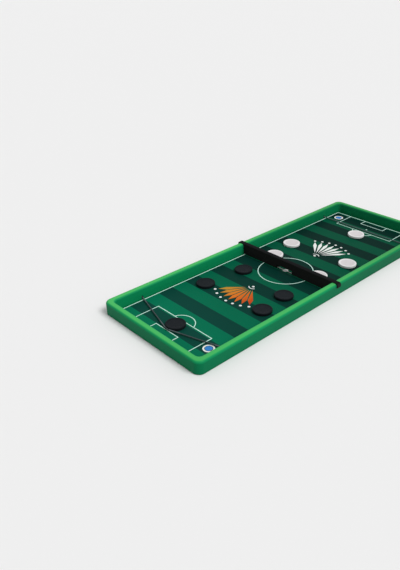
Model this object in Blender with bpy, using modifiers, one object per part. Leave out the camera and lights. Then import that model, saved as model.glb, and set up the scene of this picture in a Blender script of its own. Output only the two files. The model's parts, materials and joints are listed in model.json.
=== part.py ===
"""Table-top sling puck game: a moulded rim, a printed pitch, a clip-on divider,
two elastic slings and ten pucks.

X runs across the pitch, Y along it, and Z is up. The origin is on the table,
under the middle of the pitch. The near sling is drawn back with a puck in it.
"""
import math

import bmesh
import bpy
from mathutils import Matrix, Vector

MM = 0.001

# Rim: one long frame moulding, hollow and open underneath
RIM_LENGTH = 576.8 * MM
RIM_WIDTH = 211.6 * MM
RIM_CORNER_RADIUS = 16.0 * MM
RIM_TABLE_GAP = 0.6 * MM
RAIL_RISE = 17.2 * MM
RAIL_TOP_WIDTH = 10.8 * MM
RAIL_FOOT_WIDTH = 12.6 * MM
RIM_WALL = 2.0 * MM
RIM_TOP_WALL = 2.2 * MM
RIM_INNER_WALL = 1.8 * MM
RIM_OUTER_EDGE_RADIUS = 3.6 * MM
RIM_INNER_EDGE_RADIUS = 3.6 * MM
RIM_BOTTOM_CHAMFER = 0.4 * MM
CORNER_STEPS = 8
EDGE_STEPS = 4

# Gap left between pieces that touch, overrun of every cutter, and the depth to
# which inner works sink into the walls that they grow from
SEAT_GAP = 0.3 * MM
OVERRUN = 1.0 * MM
FUSE = 0.4 * MM

# Base: foot pads, board and printed sheet, from the table up
PAD_RADIUS = 7.0 * MM
PAD_THICKNESS = 0.9 * MM
PAD_EDGE = 0.2 * MM
PAD_INSET = 27.0 * MM
PAD_STEPS = 24
BOARD_THICKNESS = 2.0 * MM
BOARD_CLEARANCE = 0.4 * MM
SHEET_THICKNESS = 0.5 * MM
SHEET_HOLD = 1.5 * MM

# Screws, their bosses inside the rim, and the ribs between the bosses
BOSS_TO_SLING = 56.4 * MM
BOSS_RADIUS = 2.9 * MM
BOSS_STEPS = 16
BORE_STEPS = 12
RIBS_PER_BOSS_GAP = 4
RIB_THICKNESS = 1.2 * MM
RIB_CLEAR_OF_FOOT = 0.5 * MM
END_RIB_PITCH = 30.0 * MM
END_RIBS_PER_HALF = 2
SCREW_BITE = 7.0 * MM
SCREW_TIP_ROOM = 3.0 * MM
SCREW_HEAD_RADIUS = 2.3 * MM
SCREW_HEAD_LAND = 0.3 * MM
SCREW_HEAD_DEPTH = 1.3 * MM
SCREW_SHANK_RADIUS = 1.0 * MM
SCREW_POINT_RADIUS = 0.25 * MM
SCREW_POINT = 1.2 * MM
SCREW_SLOT_WIDTH = 0.6 * MM
SCREW_SLOT_DEPTH = 0.5 * MM

# Pucks
PUCK_RADIUS = 15.0 * MM
PUCK_THICKNESS = 4.2 * MM
PUCK_EDGE_RADIUS = 0.8 * MM
PUCK_EDGE_STEPS = 2
PUCK_RING_WIDTH = 2.4 * MM
PUCK_RING_SLOPE = 0.7 * MM
PUCK_TOP_RECESS = 0.45 * MM
PUCK_UNDER_RECESS = 1.3 * MM
PUCK_FOOT_WIDTH = 1.9 * MM
PUCK_STEPS = 24
PUCK_ROOM = 1.0 * MM

# Slings: elastic cords, each end knotted behind a bead inside the rail
SLING_TO_END_WALL = 49.4 * MM
SLING_DRAW = 27.6 * MM
CORD_RADIUS = 0.9 * MM
CORD_NOTCH_ROOM = 0.6 * MM
CORD_NOTCH_HEADROOM = 1.9 * MM
NOTCH_STEPS = 8
KNOT_SWELL = 1.0 * MM
KNOT_LENGTH = 2.6 * MM
KNOT_STEPS = 4
BEAD_WALL = 1.0 * MM
BEAD_LENGTH = 2.8 * MM
BEAD_EDGE = 0.4 * MM
BEAD_STEPS = 12
CORD_WRAP_STEPS = 5
CORD_RUN_STEPS = 8

# Divider: a bar across the middle, with a gate at its foot and a clip over each rail
BAR_THICKNESS = 7.0 * MM
BAR_OVER_RAIL = 1.3 * MM
BAR_WALL = 1.4 * MM
BAR_EDGE = 0.4 * MM
BAR_WEBS_PER_HALF = 2
GATE_CLEARANCE = 3.6 * MM
GATE_HEADROOM = 1.7 * MM
CLIP_WALL = 2.0 * MM
CLIP_DROP = 6.0 * MM
CLIP_SHOULDER_RADIUS = 3.2 * MM
CLIP_TIP_STEPS = 6
CLIP_SHOULDER_STEPS = 5

# Heights, stacked up from the table
BOARD_BOTTOM_Z = PAD_THICKNESS + SEAT_GAP
BOARD_TOP_Z = BOARD_BOTTOM_Z + BOARD_THICKNESS
SHEET_BOTTOM_Z = BOARD_TOP_Z + SEAT_GAP
PITCH_Z = SHEET_BOTTOM_Z + SHEET_THICKNESS
RAIL_FOOT_Z = PITCH_Z + SEAT_GAP
RIM_TOP_Z = PITCH_Z + RAIL_RISE
CAVITY_TOP_Z = RIM_TOP_Z - RIM_TOP_WALL
BOSS_BOTTOM_Z = BOARD_TOP_Z + SEAT_GAP
PUCK_Z = PITCH_Z + SEAT_GAP
PUCK_TOP_Z = PUCK_Z + PUCK_THICKNESS
CORD_Z = PUCK_Z + PUCK_THICKNESS / 2
BAR_BOTTOM_Z = PITCH_Z + SEAT_GAP
BAR_TOP_Z = RIM_TOP_Z + SEAT_GAP + BAR_OVER_RAIL
GATE_TOP_Z = PUCK_TOP_Z + GATE_HEADROOM
CLIP_TIP_Z = RIM_TOP_Z - CLIP_DROP

# Plan sizes and places
HALF_LENGTH = RIM_LENGTH / 2
HALF_WIDTH = RIM_WIDTH / 2
PITCH_HALF_WIDTH = HALF_WIDTH - RAIL_FOOT_WIDTH
SLING_Y = HALF_LENGTH - RAIL_FOOT_WIDTH - SLING_TO_END_WALL
CORD_NOTCH_RADIUS = CORD_RADIUS + CORD_NOTCH_ROOM
BEAD_BORE = CORD_RADIUS + SEAT_GAP
BEAD_RADIUS = BEAD_BORE + BEAD_WALL
BOSS_INSET = RIM_WALL + BOSS_RADIUS - FUSE
BOSS_Y = SLING_Y - BOSS_TO_SLING
RIB_PITCH = BOSS_Y / RIBS_PER_BOSS_GAP
SCREW_BORE_RADIUS = SCREW_SHANK_RADIUS + SEAT_GAP
BAR_HALF = BAR_THICKNESS / 2
GATE_HALF = PUCK_RADIUS + GATE_CLEARANCE / 2

# Puck places: across, as a share of the free half width, and along, as a share
# of the free run from the divider to the sling
BLACK_PLACE_SHARES = ((-0.617, 0.166), (-0.741, 0.569), (0.698, 0.252), (0.763, 0.536))
WHITE_PLACE_SHARES = ((-0.636, 0.047), (-0.745, 0.340), (0.666, 0.005), (0.017, 0.949), (0.765, 0.372))

FULL_TURN = 2 * math.pi
HALF_TURN = math.pi
QUARTER_TURN = math.pi / 2
SHARP_ANGLE = math.radians(35)
FLAT_ANGLE = math.radians(0.5)
MERGE = 0.00001

RIM_GREEN = (0.055, 0.42, 0.10)
BOARD_GREY = (0.24, 0.22, 0.19)
SHEET_GREEN = (0.008, 0.13, 0.06)
BAR_BLACK = (0.008, 0.008, 0.009)
PUCK_BLACK = (0.012, 0.011, 0.013)
PUCK_WHITE = (0.80, 0.78, 0.78)
CORD_GREY = (0.045, 0.05, 0.052)
SCREW_STEEL = (0.55, 0.55, 0.56)
PAD_GREY = (0.05, 0.05, 0.05)


def clear_scene():
    for thing in list(bpy.data.objects):
        bpy.data.objects.remove(thing)


def make_collection(name):
    collection = bpy.data.collections.new(name)
    bpy.context.scene.collection.children.link(collection)
    return collection


def make_material(name, colour, roughness, metallic=0.0):
    material = bpy.data.materials.new(name)
    material.use_nodes = True
    shader = material.node_tree.nodes["Principled BSDF"]
    shader.inputs["Base Color"].default_value = (*colour, 1.0)
    shader.inputs["Roughness"].default_value = roughness
    shader.inputs["Metallic"].default_value = metallic
    return material


def add_part(name, mesh, material, location=(0, 0, 0), rotation=(0, 0, 0)):
    thing = bpy.data.objects.new(name, mesh)
    if not mesh.materials:
        mesh.materials.append(material)
    thing.location = location
    thing.rotation_euler = rotation
    PARTS.objects.link(thing)
    return thing


def add_cutter(name, mesh, location=(0, 0, 0)):
    thing = bpy.data.objects.new(name, mesh)
    thing.location = location
    thing.hide_render = True
    thing.display_type = "WIRE"
    CUTTERS.objects.link(thing)
    return thing


def combine(target, tool, operation="DIFFERENCE"):
    modifier = target.modifiers.new(tool.name, "BOOLEAN")
    modifier.operation = operation
    modifier.solver = "EXACT"
    modifier.object = tool


def bevel_edges(target, width):
    modifier = target.modifiers.new("Moulded edges", "BEVEL")
    modifier.width = width
    modifier.segments = 1
    modifier.limit_method = "ANGLE"
    modifier.angle_limit = SHARP_ANGLE


def turn_on_lathe(target, steps):
    modifier = target.modifiers.new("Turned", "SCREW")
    modifier.axis = "Z"
    modifier.angle = FULL_TURN
    modifier.steps = steps
    modifier.render_steps = steps
    modifier.use_merge_vertices = True
    modifier.merge_threshold = MERGE
    modifier.use_smooth_shade = True


def smooth_shading(mesh):
    mesh.shade_smooth()
    mesh.set_sharp_from_angle(angle=SHARP_ANGLE)


def mesh_from_bmesh(name, shape):
    bmesh.ops.recalc_face_normals(shape, faces=shape.faces)
    mesh = bpy.data.meshes.new(name)
    shape.to_mesh(mesh)
    shape.free()
    return mesh


def curve_to_mesh(curve_object, join_flat=False):
    """A closed, welded mesh of a curve object, which is then removed."""
    bpy.context.view_layer.update()
    graph = bpy.context.evaluated_depsgraph_get()
    loose = bpy.data.meshes.new_from_object(curve_object.evaluated_get(graph))
    shape = bmesh.new()
    shape.from_mesh(loose)
    bmesh.ops.remove_doubles(shape, verts=shape.verts, dist=MERGE)
    if join_flat:
        bmesh.ops.dissolve_degenerate(shape, dist=MERGE, edges=shape.edges)
        bmesh.ops.dissolve_limit(shape, angle_limit=FLAT_ANGLE, verts=shape.verts, edges=shape.edges)
    name = curve_object.name
    bpy.data.objects.remove(curve_object)
    bpy.data.meshes.remove(loose)
    return mesh_from_bmesh(name, shape)


def outline_curve(name, points):
    """A closed flat curve through the points."""
    curve = bpy.data.curves.new(name, "CURVE")
    curve.dimensions = "2D"
    spline = curve.splines.new("POLY")
    spline.points.add(len(points) - 1)
    for place, (x, y) in zip(spline.points, points):
        place.co = (x, y, 0, 1)
    spline.use_cyclic_u = True
    thing = bpy.data.objects.new(name, curve)
    CUTTERS.objects.link(thing)
    return thing


def plate_mesh(name, points, thickness):
    """A flat plate of the outline, with its own plane through its middle."""
    thing = outline_curve(name, points)
    thing.data.fill_mode = "BOTH"
    thing.data.extrude = thickness / 2
    return curve_to_mesh(thing, join_flat=True)


def turned_profile(name, points):
    """A line of (radius, height) points down a piece's outer side, closed up where it has a bore."""
    shape = bmesh.new()
    places = [shape.verts.new((radius, 0, height)) for radius, height in points]
    for first, second in zip(places, places[1:]):
        shape.edges.new((first, second))
    if points[0][0] > 0:
        shape.edges.new((places[-1], places[0]))
    mesh = bpy.data.meshes.new(name)
    shape.to_mesh(mesh)
    shape.free()
    return mesh


def arc(centre, radius, start, end, steps):
    """Points on an arc, both ends included."""
    turn = (end - start) / steps
    return [
        (centre[0] + radius * math.cos(start + i * turn), centre[1] + radius * math.sin(start + i * turn))
        for i in range(steps + 1)
    ]


def rounded_rectangle(half_x, half_y, radius):
    """Outline points of a rectangle with round corners, anticlockwise."""
    points = []
    for corner, (sign_x, sign_y) in enumerate(((1, 1), (-1, 1), (-1, -1), (1, -1))):
        centre = (sign_x * (half_x - radius), sign_y * (half_y - radius))
        start = corner * QUARTER_TURN
        points += arc(centre, radius, start, start + QUARTER_TURN, CORNER_STEPS)
    return points


# The rail's section, in distances inward from the rim's outer face


def inner_face_inset(z):
    """How far in the sloped inner face stands at a height."""
    share = (z - RAIL_FOOT_Z) / (RIM_TOP_Z - RAIL_FOOT_Z)
    return RAIL_FOOT_WIDTH + share * (RAIL_TOP_WIDTH - RAIL_FOOT_WIDTH)


def hidden_face_inset(z):
    """The same for the back of the inner wall."""
    return inner_face_inset(z) - RIM_INNER_WALL


def rail_top_profile(offset):
    """The rail's top from inner to outer face, pushed out by an offset."""
    slope = math.atan2(RAIL_FOOT_WIDTH - RAIL_TOP_WIDTH, RIM_TOP_Z - RAIL_FOOT_Z)
    inner_z = RIM_TOP_Z - RIM_INNER_EDGE_RADIUS
    inner_centre = (inner_face_inset(inner_z) - RIM_INNER_EDGE_RADIUS / math.cos(slope), inner_z)
    outer_centre = (RIM_OUTER_EDGE_RADIUS, RIM_TOP_Z - RIM_OUTER_EDGE_RADIUS)
    inner = arc(inner_centre, RIM_INNER_EDGE_RADIUS + offset, slope, QUARTER_TURN, EDGE_STEPS)
    outer = arc(outer_centre, RIM_OUTER_EDGE_RADIUS + offset, QUARTER_TURN, HALF_TURN, EDGE_STEPS)
    return inner + outer


def rail_section():
    """An upside-down U with a shorter inner leg."""
    return [
        (RAIL_FOOT_WIDTH, RAIL_FOOT_Z),
        *rail_top_profile(0.0),
        (0.0, RIM_TABLE_GAP + RIM_BOTTOM_CHAMFER),
        (RIM_BOTTOM_CHAMFER, RIM_TABLE_GAP),
        (RIM_WALL, RIM_TABLE_GAP),
        (RIM_WALL, CAVITY_TOP_Z),
        (hidden_face_inset(CAVITY_TOP_Z), CAVITY_TOP_Z),
        (hidden_face_inset(RAIL_FOOT_Z), RAIL_FOOT_Z),
    ]


def boss_places():
    """Where screws hold the board to the rim: three a side and one at each end."""
    side_x = HALF_WIDTH - BOSS_INSET
    end_y = HALF_LENGTH - BOSS_INSET
    sides = [(side * side_x, row * BOSS_Y) for side in (-1, 1) for row in (-1, 0, 1)]
    return sides + [(0.0, end * end_y) for end in (-1, 1)]


def rib_section():
    """The cavity's section above the foot, sunk a little into the walls round it."""
    low = RAIL_FOOT_Z + RIB_CLEAR_OF_FOOT
    high = CAVITY_TOP_Z + FUSE
    outer = RIM_WALL - FUSE
    return [
        (outer, low),
        (hidden_face_inset(low) + FUSE, low),
        (hidden_face_inset(high) + FUSE, high),
        (outer, high),
    ]


def side_rib_rows():
    """Places along a side rail for ribs, clear of the bosses and of the cords' beads."""
    last = int((HALF_LENGTH - RIM_CORNER_RADIUS) / RIB_PITCH)
    rows = [i * RIB_PITCH for i in range(-last, last + 1) if i % RIBS_PER_BOSS_GAP]
    return [y for y in rows if abs(abs(y) - SLING_Y) > BEAD_RADIUS + RIB_THICKNESS]


def across_side_rail(side, y):
    """Stands a section drawn in (inset, z) across a side rail."""
    return Matrix(((-side, 0, 0, side * HALF_WIDTH), (0, 0, side, y), (0, 1, 0, 0), (0, 0, 0, 1)))


def across_end_rail(end, x):
    """Stands a section drawn in (inset, z) across an end rail."""
    return Matrix(((0, 0, -end, x), (-end, 0, 0, end * HALF_LENGTH), (0, 1, 0, 0), (0, 0, 0, 1)))


def add_copies(shape, mesh, matrices):
    """Adds a copy of a mesh to a bmesh for each matrix."""
    for matrix in matrices:
        before = set(shape.verts)
        shape.from_mesh(mesh)
        fresh = [corner for corner in shape.verts if corner not in before]
        bmesh.ops.transform(shape, matrix=matrix, verts=fresh)


def add_posts(shape, radius, low, high, steps):
    """Adds an upright cylinder at every boss place to a bmesh."""
    for x, y in boss_places():
        place = Matrix.Translation((x, y, (low + high) / 2))
        ends = {"radius1": radius, "radius2": radius, "depth": high - low}
        bmesh.ops.create_cone(shape, cap_ends=True, segments=steps, matrix=place, **ends)


def rim_inner_works():
    """Ribs and screw bosses, separate solids that the rim is fused with."""
    shape = bmesh.new()
    rib = plate_mesh("rib", rib_section(), RIB_THICKNESS)
    add_copies(shape, rib, [across_side_rail(side, y) for side in (-1, 1) for y in side_rib_rows()])
    end_rows = [i * END_RIB_PITCH for i in range(-END_RIBS_PER_HALF, END_RIBS_PER_HALF + 1) if i]
    add_copies(shape, rib, [across_end_rail(end, x) for end in (-1, 1) for x in end_rows])
    add_posts(shape, BOSS_RADIUS, BOSS_BOTTOM_Z, CAVITY_TOP_Z + FUSE, BOSS_STEPS)
    return mesh_from_bmesh("rim_inner_works", shape)


def cord_notch():
    """A plate of the notch's outline, round at the top, thick enough to go right through the inner wall."""
    crown_z = CORD_Z + CORD_RADIUS + CORD_NOTCH_HEADROOM - CORD_NOTCH_RADIUS
    crown = arc((0.0, crown_z), CORD_NOTCH_RADIUS, 0.0, HALF_TURN, NOTCH_STEPS)
    low = RAIL_FOOT_Z - OVERRUN
    outline = [(CORD_NOTCH_RADIUS, low), *crown, (-CORD_NOTCH_RADIUS, low)]
    return plate_mesh("cord_notch", outline, 2 * OVERRUN + RAIL_FOOT_WIDTH - hidden_face_inset(CAVITY_TOP_Z))


def rim_cuts():
    """Screw bores and cord notches."""
    shape = bmesh.new()
    bore_top = BOARD_TOP_Z + SCREW_BITE + SCREW_TIP_ROOM
    add_posts(shape, SCREW_BORE_RADIUS, BOSS_BOTTOM_Z - OVERRUN, bore_top, BORE_STEPS)
    wall_x = HALF_WIDTH - (RAIL_FOOT_WIDTH + hidden_face_inset(CAVITY_TOP_Z)) / 2
    across_wall = [
        Matrix(((0, 0, 1, side * wall_x), (1, 0, 0, end * SLING_Y), (0, 1, 0, 0), (0, 0, 0, 1)))
        for side in (-1, 1)
        for end in (-1, 1)
    ]
    add_copies(shape, cord_notch(), across_wall)
    return mesh_from_bmesh("rim_cuts", shape)


def make_rim():
    """The rail's section swept round the outline, fused with its inner works and then cut."""
    section = outline_curve("rail_section", rail_section())
    path = outline_curve("rim_frame", rounded_rectangle(HALF_WIDTH, HALF_LENGTH, RIM_CORNER_RADIUS))
    path.data.bevel_mode = "OBJECT"
    path.data.bevel_object = section
    mesh = curve_to_mesh(path)
    bpy.data.objects.remove(section)
    smooth_shading(mesh)
    rim = add_part("rim_frame", mesh, make_material("rim plastic", RIM_GREEN, 0.38))
    combine(rim, add_cutter("rim_inner_works", rim_inner_works()), "UNION")
    combine(rim, add_cutter("rim_cuts", rim_cuts()))


def make_board():
    """The base panel that closes the rim from below, with countersunk screw holes."""
    inset = RIM_WALL + BOARD_CLEARANCE
    outline = rounded_rectangle(HALF_WIDTH - inset, HALF_LENGTH - inset, RIM_CORNER_RADIUS - inset)
    mesh = plate_mesh("play_board", outline, BOARD_THICKNESS)
    middle_z = BOARD_BOTTOM_Z + BOARD_THICKNESS / 2
    board = add_part("play_board", mesh, make_material("board", BOARD_GREY, 0.7), (0, 0, middle_z))
    head = SCREW_HEAD_RADIUS + SEAT_GAP
    profile = [
        (0.0, BOARD_THICKNESS + OVERRUN),
        (SCREW_BORE_RADIUS, BOARD_THICKNESS + OVERRUN),
        (SCREW_BORE_RADIUS, SCREW_HEAD_DEPTH + SEAT_GAP),
        (head, SCREW_HEAD_LAND + SEAT_GAP),
        (head, -OVERRUN),
        (0.0, -OVERRUN),
    ]
    hole = turned_profile("screw_hole", profile)
    for number, (x, y) in enumerate(boss_places(), 1):
        cutter = add_cutter(f"screw_hole_{number}", hole, (x, y, BOARD_BOTTOM_Z))
        turn_on_lathe(cutter, BORE_STEPS)
        combine(board, cutter)


def make_sheet():
    """The printed pitch, held down all round by the feet of the inner walls."""
    inset = RAIL_FOOT_WIDTH - SHEET_HOLD
    outline = rounded_rectangle(HALF_WIDTH - inset, HALF_LENGTH - inset, RIM_CORNER_RADIUS - inset)
    mesh = plate_mesh("pitch_sheet", outline, SHEET_THICKNESS)
    middle_z = SHEET_BOTTOM_Z + SHEET_THICKNESS / 2
    add_part("pitch_sheet", mesh, make_material("printed sheet", SHEET_GREEN, 0.45), (0, 0, middle_z))


def make_pads():
    profile = [
        (0.0, PAD_THICKNESS),
        (PAD_RADIUS, PAD_THICKNESS),
        (PAD_RADIUS, PAD_EDGE),
        (PAD_RADIUS - PAD_EDGE, 0.0),
        (0.0, 0.0),
    ]
    mesh = turned_profile("foot_pad", profile)
    material = make_material("rubber pad", PAD_GREY, 0.9)
    corners = [(side, end) for side in (-1, 1) for end in (-1, 1)]
    for number, (side, end) in enumerate(corners, 1):
        place = (side * (HALF_WIDTH - PAD_INSET), end * (HALF_LENGTH - PAD_INSET), 0)
        pad = add_part(f"foot_pad_{number}", mesh, material, place)
        turn_on_lathe(pad, PAD_STEPS)


def make_screws():
    """Countersunk screws, heads down and flush with the board."""
    length = BOARD_THICKNESS + SCREW_BITE
    profile = [
        (0.0, length),
        (SCREW_POINT_RADIUS, length),
        (SCREW_SHANK_RADIUS, length - SCREW_POINT),
        (SCREW_SHANK_RADIUS, SCREW_HEAD_DEPTH),
        (SCREW_HEAD_RADIUS, SCREW_HEAD_LAND),
        (SCREW_HEAD_RADIUS, 0.0),
        (0.0, 0.0),
    ]
    mesh = turned_profile("board_screw", profile)
    material = make_material("screw steel", SCREW_STEEL, 0.35, 1.0)
    slot_length = 2 * (SCREW_HEAD_RADIUS - SCREW_HEAD_LAND)
    slot_shape = bmesh.new()
    size = Matrix.Diagonal((slot_length, SCREW_SLOT_WIDTH, 2 * SCREW_SLOT_DEPTH, 1))
    bmesh.ops.create_cube(slot_shape, size=1.0, matrix=size)
    slot = mesh_from_bmesh("screw_slot", slot_shape)
    for number, (x, y) in enumerate(boss_places(), 1):
        place = (x, y, BOARD_BOTTOM_Z)
        screw = add_part(f"board_screw_{number}", mesh, material, place)
        turn_on_lathe(screw, BORE_STEPS)
        combine(screw, add_cutter(f"screw_slot_{number}", slot, place))


def puck_profile():
    """A low disc with a raised ring on top and a cored underside."""
    ring = PUCK_RADIUS - PUCK_RING_WIDTH
    edge_x = PUCK_RADIUS - PUCK_EDGE_RADIUS
    foot = edge_x - PUCK_FOOT_WIDTH
    floor_z = PUCK_THICKNESS - PUCK_TOP_RECESS
    edge_z = PUCK_THICKNESS - PUCK_EDGE_RADIUS
    shoulder = arc((edge_x, edge_z), PUCK_EDGE_RADIUS, QUARTER_TURN, 0.0, PUCK_EDGE_STEPS)
    return [
        (0.0, floor_z),
        (ring - PUCK_RING_SLOPE, floor_z),
        (ring, PUCK_THICKNESS),
        *shoulder,
        (PUCK_RADIUS, PUCK_EDGE_RADIUS),
        (edge_x, 0.0),
        (foot, 0.0),
        (foot - PUCK_RING_SLOPE, PUCK_UNDER_RECESS),
        (0.0, PUCK_UNDER_RECESS),
    ]


def puck_place(side, across_share, along_share):
    """A place on one side of the divider, clear of it, the rails and the sling."""
    nearest = BAR_HALF + PUCK_ROOM + PUCK_RADIUS
    furthest = SLING_Y - CORD_RADIUS - PUCK_ROOM - PUCK_RADIUS
    widest = PITCH_HALF_WIDTH - PUCK_RADIUS
    return (across_share * widest, side * (nearest + along_share * (furthest - nearest)), PUCK_Z)


def held_puck_y(draw):
    """How far along the middle of a puck lies that a sling holds, drawn back by a distance."""
    return SLING_Y + draw - CORD_RADIUS - SEAT_GAP - PUCK_RADIUS


def make_pucks():
    black = make_material("black puck plastic", PUCK_BLACK, 0.5)
    white = make_material("white puck plastic", PUCK_WHITE, 0.4)
    black_mesh = turned_profile("black_puck", puck_profile())
    white_mesh = turned_profile("white_puck", puck_profile())
    pucks = []
    for number, shares in enumerate(BLACK_PLACE_SHARES, 1):
        pucks.append(add_part(f"black_puck_{number}", black_mesh, black, puck_place(-1, *shares)))
    held = (0, -held_puck_y(SLING_DRAW), PUCK_Z)
    pucks.append(add_part("black_puck_in_sling", black_mesh, black, held))
    for number, shares in enumerate(WHITE_PLACE_SHARES, 1):
        pucks.append(add_part(f"white_puck_{number}", white_mesh, white, puck_place(1, *shares)))
    for puck in pucks:
        turn_on_lathe(puck, PUCK_STEPS)


def bead_start():
    """Where a bead begins, from the middle, seated against the back of the inner wall."""
    return HALF_WIDTH - hidden_face_inset(CORD_Z + BEAD_RADIUS) + SEAT_GAP


def knot_points():
    """(x, y, radius) along the knot that ends a cord behind its bead."""
    start = bead_start() + BEAD_LENGTH + SEAT_GAP
    shares = [i / KNOT_STEPS for i in range(KNOT_STEPS + 1)]
    return [
        (start + share * KNOT_LENGTH, SLING_Y, CORD_RADIUS + KNOT_SWELL * math.sin(share * HALF_TURN))
        for share in shares
    ]


def half_cord_route(draw):
    """(x, y, radius) along the right half of a sling, from its middle to its knot."""
    wall = Vector((HALF_WIDTH - inner_face_inset(CORD_Z), SLING_Y))
    bend = [(0.0, SLING_Y)]
    if draw:
        puck = Vector((0.0, held_puck_y(draw)))
        wrap = PUCK_RADIUS + SEAT_GAP + CORD_RADIUS
        out = wall - puck
        leaves = math.atan2(out.y, out.x) + math.acos(wrap / out.length)
        bend = arc(puck, wrap, QUARTER_TURN, leaves, CORD_WRAP_STEPS)
    last = Vector(bend[-1])
    run = [last.lerp(wall, (i + 1) / CORD_RUN_STEPS) for i in range(CORD_RUN_STEPS)]
    points = [(x, y, CORD_RADIUS) for x, y in bend]
    points += [(place.x, place.y, CORD_RADIUS) for place in run]
    return points + knot_points()


def make_cord(name, end, draw, material):
    """An elastic cord with a knot at each end, on its whole route."""
    half = half_cord_route(draw)
    whole = [(-x, y, radius) for x, y, radius in reversed(half[1:])] + half
    curve = bpy.data.curves.new(name, "CURVE")
    curve.dimensions = "3D"
    curve.bevel_depth = CORD_RADIUS
    curve.bevel_resolution = 2
    curve.use_fill_caps = True
    spline = curve.splines.new("POLY")
    spline.points.add(len(whole) - 1)
    for place, (x, y, radius) in zip(spline.points, whole):
        place.co = (x, end * y, CORD_Z, 1)
        place.radius = radius / CORD_RADIUS
    thing = bpy.data.objects.new(name, curve)
    CUTTERS.objects.link(thing)
    mesh = curve_to_mesh(thing)
    smooth_shading(mesh)
    add_part(name, mesh, material)


def make_slings():
    material = make_material("elastic cord", CORD_GREY, 0.8)
    make_cord("near_cord", -1, SLING_DRAW, material)
    make_cord("far_cord", 1, 0.0, material)
    profile = [
        (BEAD_BORE, BEAD_LENGTH),
        (BEAD_RADIUS - BEAD_EDGE, BEAD_LENGTH),
        (BEAD_RADIUS, BEAD_LENGTH - BEAD_EDGE),
        (BEAD_RADIUS, BEAD_EDGE),
        (BEAD_RADIUS - BEAD_EDGE, 0.0),
        (BEAD_BORE, 0.0),
    ]
    mesh = turned_profile("cord_stopper", profile)
    plastic = make_material("stopper plastic", BAR_BLACK, 0.5)
    for end, reach in ((-1, "near"), (1, "far")):
        for side, hand in ((-1, "left"), (1, "right")):
            place = (side * bead_start(), end * SLING_Y, CORD_Z)
            name = f"cord_stopper_{reach}_{hand}"
            bead = add_part(name, mesh, plastic, place, (0, side * QUARTER_TURN, 0))
            turn_on_lathe(bead, BEAD_STEPS)


def bar_end_x():
    """The end of the bar's foot, just clear of the rail's sloped inner face."""
    return HALF_WIDTH - inner_face_inset(BAR_BOTTOM_Z) - SEAT_GAP


def half_bar_outline():
    """The divider's right half in (x, z), from the top of the gate round to the top of the bar."""
    over_rail = [(HALF_WIDTH - inset, z) for inset, z in rail_top_profile(SEAT_GAP)]
    leg_x = HALF_WIDTH + SEAT_GAP
    tip_radius = CLIP_WALL / 2
    tip = arc((leg_x + tip_radius, CLIP_TIP_Z + tip_radius), tip_radius, HALF_TURN, FULL_TURN, CLIP_TIP_STEPS)
    shoulder_centre = (leg_x + CLIP_WALL - CLIP_SHOULDER_RADIUS, BAR_TOP_Z - CLIP_SHOULDER_RADIUS)
    shoulder = arc(shoulder_centre, CLIP_SHOULDER_RADIUS, 0.0, QUARTER_TURN, CLIP_SHOULDER_STEPS)
    return [
        (GATE_HALF, GATE_TOP_Z),
        (GATE_HALF, BAR_BOTTOM_Z),
        (bar_end_x(), BAR_BOTTOM_Z),
        *over_rail,
        *tip,
        *shoulder,
    ]


def add_pocket(shape, low_x, high_x, low_z):
    """Adds a box to a bmesh that cores the bar between two places, up to its top wall."""
    high_z = BAR_TOP_Z - BAR_WALL
    size = (high_x - low_x, BAR_THICKNESS - 2 * BAR_WALL, high_z - low_z, 1)
    place = Matrix.Translation(((low_x + high_x) / 2, 0, (low_z + high_z) / 2))
    bmesh.ops.create_cube(shape, size=1.0, matrix=place @ Matrix.Diagonal(size))


def bar_pockets():
    """The cored underside: pockets between cross webs, and one over the gate."""
    shape = bmesh.new()
    lintel = GATE_HALF - BAR_WALL
    add_pocket(shape, -lintel, lintel, GATE_TOP_Z - OVERRUN)
    start = GATE_HALF + BAR_WALL
    pockets = BAR_WEBS_PER_HALF + 1
    length = (bar_end_x() - start - pockets * BAR_WALL) / pockets
    for i in range(pockets):
        near = start + i * (length + BAR_WALL)
        far = near + length
        add_pocket(shape, near, far, BAR_BOTTOM_Z - OVERRUN)
        add_pocket(shape, -far, -near, BAR_BOTTOM_Z - OVERRUN)
    return mesh_from_bmesh("bar_pockets", shape)


def make_divider():
    """The bar, drawn as its outline seen from the near end and stood on its foot."""
    right = half_bar_outline()
    left = [(-x, z) for x, z in reversed(right)]
    mesh = plate_mesh("centre_divider", right + left, BAR_THICKNESS)
    smooth_shading(mesh)
    material = make_material("divider plastic", BAR_BLACK, 0.42)
    bar = add_part("centre_divider", mesh, material, (0, 0, 0), (QUARTER_TURN, 0, 0))
    bevel_edges(bar, BAR_EDGE)
    combine(bar, add_cutter("bar_pockets", bar_pockets()))


clear_scene()
PARTS = make_collection("Sling puck game")
CUTTERS = make_collection("Cutters")
make_rim()
make_board()
make_sheet()
make_pads()
make_screws()
make_divider()
make_slings()
make_pucks()
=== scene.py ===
"""Looks of the sling puck game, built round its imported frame.

Metres, +Z up, in the frame's own place: X runs across the pitch, Y along it.
"""
import json
import math

import bmesh
import bpy
from mathutils import Matrix, Vector


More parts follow.
